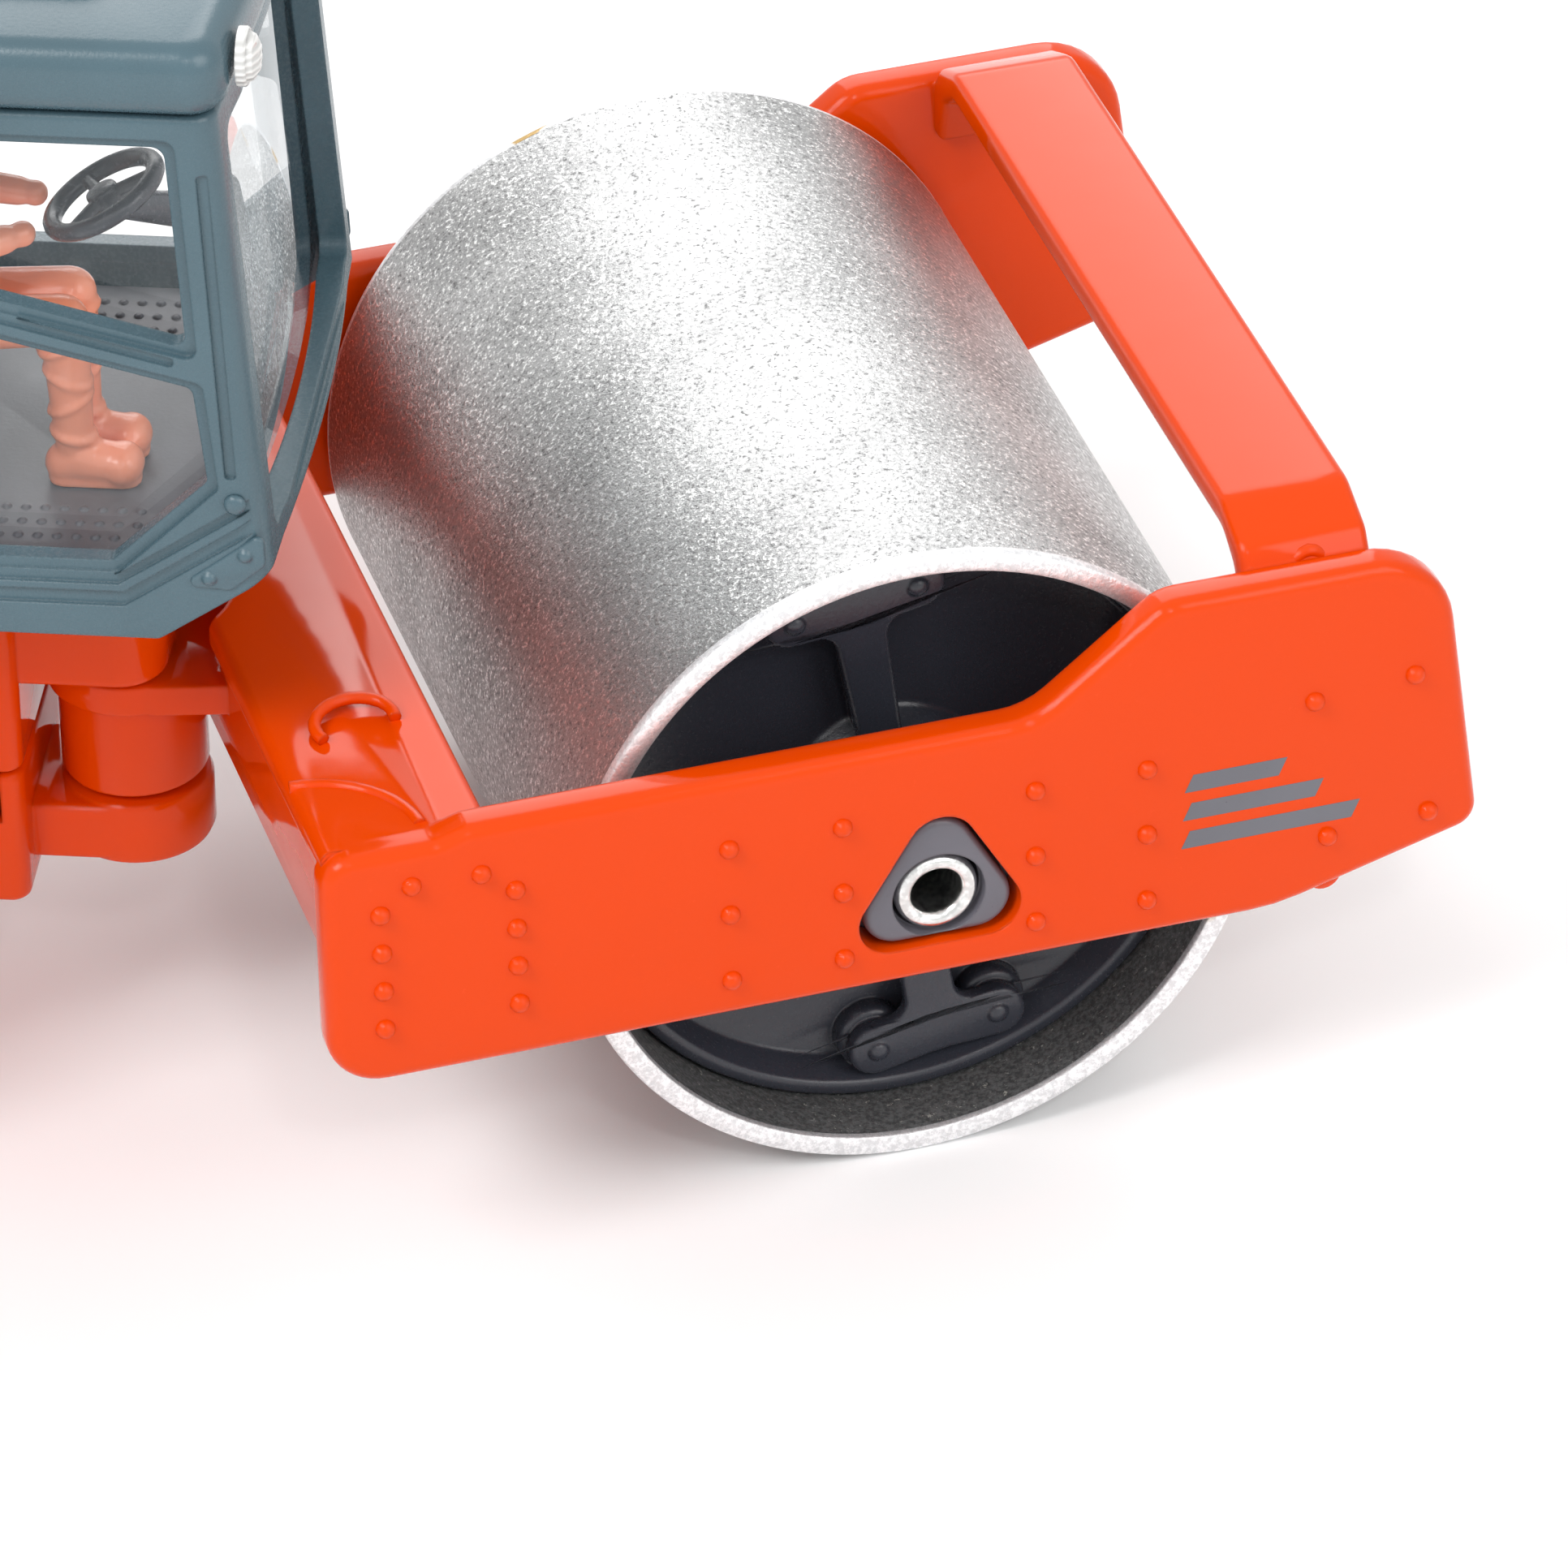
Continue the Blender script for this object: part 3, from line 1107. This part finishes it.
def build_driver(plastic, chassis):
    """Seated figure, moulded in one piece: boots, legs, trunk, arms on the wheel, head with a cap."""
    hip_z = FLOOR_TOP + SEAT_PLINTH + CUSHION + 2.0
    trunk = add(
        "driver",
        limb((-9.0, DRIVER_Y, hip_z), (-9.4, DRIVER_Y, hip_z + 7.4), 1.75, 1.9),
        plastic,
        chassis,
    )
    parts = [limb((-9.3, DRIVER_Y - 1.6, hip_z + 7.6), (-9.3, DRIVER_Y + 1.6, hip_z + 7.6), 1.25, 1.25)]
    for side in (-1, 1):
        y = DRIVER_Y + side * 1.15
        knee = (-1.1, y, hip_z + 0.5)
        ankle = (-0.9, y, FLOOR_TOP + 1.6)
        hand = (WHEEL_CENTRE[0] - 3.35, WHEEL_CENTRE[1] + side * 1.7, WHEEL_CENTRE[2] - 1.1)
        elbow = (-6.0, DRIVER_Y + side * 3.2, hip_z + 4.6)
        parts += [
            limb((-8.6, y, hip_z - 0.2), knee, 1.3, 1.15),
            limb((knee[0] + 0.03, y + 0.02, knee[2] - 0.25), ankle, 1.12, 0.85),
            limb((-1.2, y, FLOOR_TOP + 1.1), (1.5, y - 0.1, FLOOR_TOP + 1.0), 0.92, 0.8),
            limb((-9.2, DRIVER_Y + side * 2.2, hip_z + 7.4), elbow, 0.95, 0.75),
            limb((elbow[0] + 0.05, elbow[1], elbow[2] + 0.04), hand, 0.72, 0.6),
        ]
    neck = limb((-9.3, DRIVER_Y, hip_z + 8.4), (-9.1, DRIVER_Y, hip_z + 10.4), 0.85, 0.85)
    head = limb((-9.0, DRIVER_Y, hip_z + 11.0), (-9.0, DRIVER_Y, hip_z + 11.9), 1.4, 1.5)
    brim = rod("Z", 1.95, hip_z + 12.1, hip_z + 12.5, (-8.6, DRIVER_Y, 0), 12)
    return join(trunk, *parts, neck, head, brim)


def build_work_lights(lens, chassis):
    """Round work lamps under the front of the roof."""
    low = CAB_TOP + SEAT_GAP
    x = CAB_FRONT + ROOF_OVERHANG - lean_at(low + 0.4) + 2 * SEAT_GAP
    for name, side in SIDES:
        profile = [(0, 0), (LIGHT_RADIUS, 0), (LIGHT_RADIUS, 0.45), (LIGHT_RADIUS * 0.75, 0.85), (0, 1.0)]
        centre = (x, side * (CAB_HALF_WIDTH - 2.3), low + 1.7)
        add(f"work_light_{name}", revolve(profile, "X", 12, centre), lens, chassis)


# ---------------------------------------------------------------- hood and engine
def hood_solid(inset):
    """Rounded hood body: level top, sloping rear, closed underneath."""
    half, front, rear = HOOD_HALF_WIDTH - inset, -HOOD_FRONT - inset, -HOOD_BACK + inset
    low = HOOD_BOTTOM - (4 if inset else 0)
    radius = HOOD_ROUND - inset * 0.6
    ball = radius * 1.2
    plan = rounded([(rear, -half, radius), (rear, half, radius), (front, half, 0), (front, -half, 0)])
    points = [Vector((u, v, low)) for u, v in plan]
    for x, top in ((front, HOOD_TOP - inset), (-HOOD_BACK + 15.0, HOOD_TOP - 0.7 - inset)):
        for sign in (-1, 1):
            for angle in (0, 45, 90):
                y = half - radius + radius * math.cos(math.radians(angle))
                points.append(Vector((x, sign * y, top - radius + radius * math.sin(math.radians(angle)))))
    for sign in (-1, 1):
        centre = Vector((rear + 3.0 + ball, sign * (half - ball), HOOD_TOP - 6.4 - inset))
        for around in range(0, 360, 45):
            for up in (0, 45, 90):
                spoke = Vector((math.cos(math.radians(up)), 0, math.sin(math.radians(up))))
                points.append(centre + ball * (Matrix.Rotation(math.radians(around), 3, "Z") @ spoke))
    return hull(points)


def build_hood(paint, hinge):
    """Hood shell with side vents, a rear grille opening and its hinge knuckle."""
    shell = add("hood_shell", local_to_hinge(hood_solid(0)), paint, hinge)
    (x_low, x_high), (z_low, z_high) = VENT_X, VENT_Z
    vent = [(x_low, z_low), (x_high, z_low), (x_high - 1.5, z_high), (x_low + 1.5, z_high)]
    sides = prism(rounded([(u, v, 0.8) for u, v in vent]), "Y", -20, 20)
    half, low = REAR_VENT_HALF_WIDTH, HOOD_BOTTOM + 1.6
    rear = block((-HOOD_BACK - 5, -HOOD_BACK + 8), (-half, half), (low, low + 3.4), 0.7, "X")
    inside = hood_solid(HOOD_WALL)
    half = HINGE_HALF_WIDTH - EAR_WIDTH - RUN_GAP
    notches = [
        block(
            (-HOOD_BACK - 2, -HOOD_BACK + 2.2),
            sorted((side * half, side * (HINGE_HALF_WIDTH + RUN_GAP))),
            (HOOD_BOTTOM - 1, HOOD_BOTTOM + 2.0),
        )
        for _, side in SIDES
    ]
    cut(shell, *(local_to_hinge(tool) for tool in (inside, sides, rear, *notches)))
    knuckle = prism(
        rounded(
            [
                (HINGE_X - HINGE_KNUCKLE_RADIUS, HINGE_Z - 1.0, 1.0),
                (HINGE_X + 0.7, HINGE_Z - HINGE_KNUCKLE_RADIUS, 1.0),
                (-HOOD_BACK + 0.5, HOOD_BOTTOM + 0.1, 0),
                (-HOOD_BACK + 0.7, HOOD_BOTTOM + 1.4, 0),
                (HINGE_X, HINGE_Z + HINGE_KNUCKLE_RADIUS + 0.1, 0.8),
                (HINGE_X - HINGE_KNUCKLE_RADIUS, HINGE_Z + 0.8, 0.8),
            ]
        ),
        "Y",
        -half,
        half,
    )
    join(shell, local_to_hinge(knuckle))
    cut(shell, local_to_hinge(rod("Y", HINGE_PIN_RADIUS + SEAT_GAP, -12, 12, (HINGE_X, 0, HINGE_Z), 10)))
    return shell


def local_to_hinge(solid):
    """Move a solid drawn in the rear frame so that the hood's hinge axis is its origin."""
    bmesh.ops.translate(solid, verts=solid.verts, vec=(-HINGE_X, 0, -HINGE_Z))
    return solid


def build_grilles(plastic, hinge):
    """Louvred inserts behind the hood's side and rear openings."""
    (x_low, x_high), (z_low, z_high) = VENT_X, VENT_Z
    wall = HOOD_HALF_WIDTH - HOOD_WALL - SEAT_GAP
    for name, side in SIDES:
        span = sorted((side * wall, side * (wall - 0.9)))
        plate = block((x_low - 0.8, x_high + 0.8), span, (z_low - 0.8, z_high + 0.6))
        panel = add(f"hood_grille_{name}", local_to_hinge(plate), plastic, hinge)
        pitch = (z_high - z_low - 0.6) / VENT_SLATS
        first = z_low + 0.45
        slots = [
            block((x_low + 1.6, x_high - 1.6), (-20, 20), (first + pitch * n, first + pitch * (n + 0.45)))
            for n in range(VENT_SLATS)
        ]
        cut(panel, local_to_hinge(merged(slots)))
    face = -HOOD_BACK + HOOD_WALL + SEAT_GAP + 1.8
    low, high = HOOD_BOTTOM + 0.9, HOOD_BOTTOM + 5.4
    shift = (high - low) * 0.32
    lean = [(face, low), (face + 0.9, low), (face + 0.9 + shift, high), (face + shift, high)]
    half = REAR_VENT_HALF_WIDTH
    panel = add("rear_grille", local_to_hinge(prism(lean, "Y", -half - 0.8, half + 0.8)), plastic, hinge)
    places = [low + 1.0 + 0.8 * number for number in range(REAR_VENT_SLATS)]
    slots = [block((face - 4, face + 6), (-half + 0.5, half - 0.5), (z, z + 0.4)) for z in places]
    cut(panel, local_to_hinge(merged(slots)))


def build_exhaust(plastic, hinge):
    """Short exhaust pipe on the hood, bent to the rear at its mouth."""
    foot = Vector((-HOOD_FRONT - 8.4, -HOOD_HALF_WIDTH + 5.0, HOOD_TOP + SEAT_GAP + 0.2))
    route = [(0, 0), (0, 4.0), (-0.35, 5.2), (-1.1, 6.1), (-2.2, 6.5)]
    pipe = tube([foot + Vector((back, 0, up)) for back, up in route], EXHAUST_RADIUS, 8)
    exhaust = add("exhaust_pipe", local_to_hinge(pipe), plastic, hinge)
    collar = rod("Z", EXHAUST_RADIUS + 0.45, HOOD_TOP + SEAT_GAP, HOOD_TOP + 0.9, (foot.x, foot.y, 0), 10)
    return join(exhaust, local_to_hinge(collar))


def build_hinge_pin(steel, chassis):
    """Pin through the casting's ears and the hood's knuckle."""
    half = HINGE_HALF_WIDTH + 0.25
    pin = rod("Y", HINGE_PIN_RADIUS, -half, half, (HINGE_X, 0, HINGE_Z), 10, 0.15)
    add("hood_hinge_pin", pin, steel, chassis)


def build_engine(plastic, chassis):
    """Engine moulding in the tub: block, ribbed rocker cover, filter drum and sump."""
    low = TUB_FLOOR + SEAT_GAP
    half, top = ENGINE_HALF_WIDTH, TUB_TOP - 1.0
    body = block((ENGINE_BACK, ENGINE_FRONT), (-half, half), (low, top))
    engine = add("engine_block", body, plastic, chassis)
    back, front = ENGINE_BACK + 2.0, ENGINE_FRONT - 2.0
    cover = block((back, front), (-3.2, 3.2), (top - 0.5, COVER_TOP), 1.0, "X")
    pitch = (front - back - 5.0) / (RIB_COUNT - 1)
    places = [back + 2.0 + pitch * number for number in range(RIB_COUNT)]
    ribs = [block((x, x + 1.0), (-3.6, 3.6), (top - 0.5, COVER_TOP + 0.5)) for x in places]
    filter_drum = rod("X", 2.6, back + 5.0, front - 4.0, (0, 5.2, top + 2.2), 12)
    sump = rod("Y", 3.4, -half - 1.0, half + 1.0, (ENGINE_BACK + 8.0, 0, low + 5.8), 12)
    return join(engine, cover, *ribs, filter_drum, sump)


def build_radiator(plastic, chassis):
    """Radiator in front of the rear grille, with a ring cowl that faces the engine."""
    low, high = TUB_FLOOR + SEAT_GAP, HOOD_BOTTOM + 5.0
    half = TUB_HALF_WIDTH - TUB_WALL - 1.1
    face, middle = RADIATOR_BACK + RADIATOR_THICKNESS, TUB_FLOOR + 11.0
    core = add("radiator", block((RADIATOR_BACK, face), (-half, half), (low, high)), plastic, chassis)
    cowl = rod("X", COWL_RADIUS, face - 0.5, face + 2.8, (0, 0, middle), 16)
    hollow = rod("X", COWL_RADIUS - 0.7, face + 0.6, face + 4.0, (0, 0, middle), 16)
    boss = rod("X", 1.6, face + 0.3, face + 2.4, (0, 0, middle), 8)
    star = []
    for number in range(FAN_BLADES):
        for radius, lead in ((1.35, -24), (COWL_RADIUS - 1.3, -13), (COWL_RADIUS - 1.3, 13), (1.35, 24)):
            angle = math.radians(360 / FAN_BLADES * number + 7 + lead)
            star.append((radius * math.cos(angle), middle + radius * math.sin(angle)))
    fan = prism(star, "X", face + 1.2, face + 2.0)
    join(core, cowl)
    cut(core, hollow)
    return join(core, boss, fan)


# ---------------------------------------------------------------- whole machine
def world_bounds():
    """Lowest and highest corner of all visible solids, in metres."""
    bpy.context.view_layer.update()
    depsgraph = bpy.context.evaluated_depsgraph_get()
    corners = []
    for thing in bpy.context.scene.objects:
        if thing.type == "EMPTY" or thing.hide_render:
            continue
        evaluated = thing.evaluated_get(depsgraph)
        mesh = evaluated.to_mesh()
        corners += [thing.matrix_world @ vert.co for vert in mesh.vertices]
        evaluated.to_mesh_clear()
    low = Vector(min(corner[i] for corner in corners) for i in range(3))
    high = Vector(max(corner[i] for corner in corners) for i in range(3))
    return low, high


def main():
    """Build the machine and set it down with its origin under the middle of its box."""
    clear_scene()
    orange = material("orange_paint", (0.83, 0.08, 0.005), 0.18)
    blue_grey = material("blue_grey_plastic", (0.11, 0.2, 0.24), 0.45)
    dark_grey = material("dark_grey_plastic", (0.03, 0.032, 0.042), 0.4)
    floor_grey = material("floor_grey_plastic", (0.13, 0.13, 0.15), 0.5)
    black = material("black_plastic", (0.012, 0.012, 0.013), 0.45)
    rubber = material("black_rubber", (0.014, 0.014, 0.014), 0.75)
    drum_steel = material("drum_steel", (0.6, 0.6, 0.6), 0.38, 1.0)
    bright_steel = material("bright_steel", (0.72, 0.72, 0.71), 0.2, 1.0)
    clear = material("clear_plastic", (0.9, 0.93, 0.95), 0.05, alpha=0.25)
    figure = material("orange_figure_plastic", (0.85, 0.22, 0.12), 0.4)
    white_lens = material("white_lens", (0.8, 0.8, 0.78), 0.1)
    red_lens = material("red_lens", (0.5, 0.01, 0.01), 0.1)

    chassis = empty("chassis_origin", (0, 0, 0))
    steering = empty("steering_axis", (0, 0, 0), chassis, STEER_AT_REST)
    drum_axis = empty("drum_axis", (DRUM_AHEAD, 0, DRUM_HEIGHT), steering)
    hinge = empty("hood_axis", (HINGE_X, 0, HINGE_Z), chassis)

    build_front_frame(orange, steering)
    build_bearing_blocks(dark_grey, steering)
    build_drum_axle(bright_steel, steering)
    build_drum_shell(drum_steel, drum_axis)
    build_drum_ends(dark_grey, drum_axis)

    build_pin(bright_steel, chassis)
    build_upper_casting(orange, chassis)
    build_lower_casting(orange, chassis)
    build_screws(bright_steel, chassis)
    build_steps(black, chassis)
    build_rear_lights(red_lens, chassis)
    build_rear_axle(bright_steel, chassis)
    for name, side in SIDES:
        axis = empty(f"wheel_axis_{name}", (-REAR_AXLE_BEHIND, side * WHEEL_OFFSET, TYRE_RADIUS), chassis)
        build_rim(name, side, orange, axis)
        build_tyre(name, side, rubber, axis)

    build_cab_frame(blue_grey, chassis)
    build_cab_glazing(clear, chassis)
    build_cab_floor(floor_grey, chassis)
    build_cab_roof(blue_grey, chassis)
    build_seat(black, chassis)
    build_console(dark_grey, chassis)
    build_driver(figure, chassis)
    build_work_lights(white_lens, chassis)

    build_hood(orange, hinge)
    build_grilles(black, hinge)
    build_exhaust(black, hinge)
    build_hinge_pin(bright_steel, chassis)
    build_engine(dark_grey, chassis)
    build_radiator(black, chassis)

    low, high = world_bounds()
    chassis.location = (-(low.x + high.x) / 2, -(low.y + high.y) / 2, -low.z)
    bpy.context.view_layer.update()


main()
